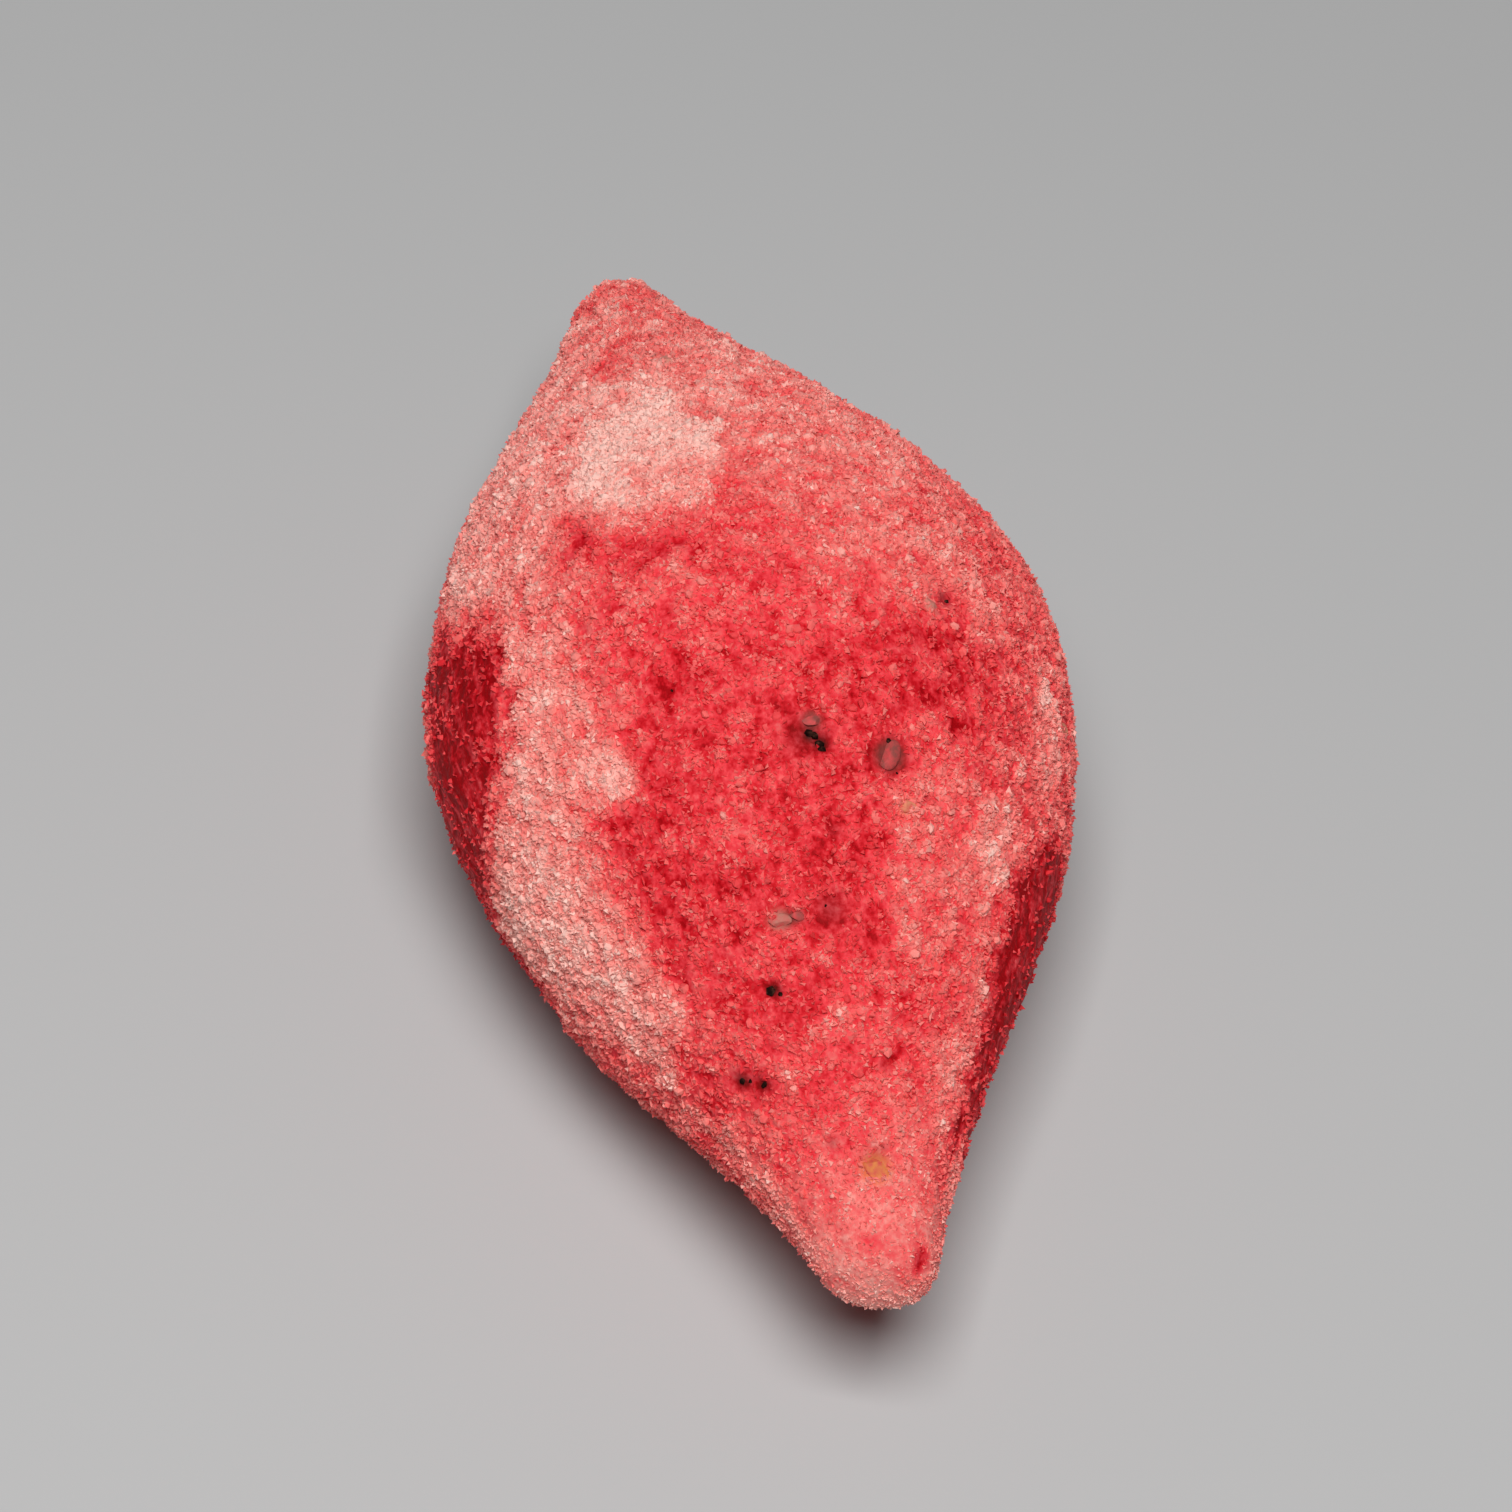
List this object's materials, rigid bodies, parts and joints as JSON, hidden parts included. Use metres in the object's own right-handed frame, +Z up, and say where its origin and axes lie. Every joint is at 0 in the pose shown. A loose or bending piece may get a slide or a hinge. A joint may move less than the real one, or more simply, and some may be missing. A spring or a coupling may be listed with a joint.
{
  "type": "kibbeh",
  "caption": "Torpedo-shaped stuffed kibbeh of raw red meat and bulgur paste, thick in the middle, pinched to a blunt nub at each end and frozen under a thin crust of frost.",
  "frame": {"origin": "under the middle of the kibbeh's box, on the surface that it rests on", "axes": "+X along the long axis to the slimmer, longer end, +Y to the side, +Z up"},
  "size_m": [0.0782, 0.041, 0.0372],
  "materials": {
    "frosted_paste": "deep red frozen paste with a granular, patchy white-pink frost, matt, with a few dark spice specks"
  },
  "bodies": {
    "root": {"kibbeh": "frosted_paste"}
  },
  "joints": []
}
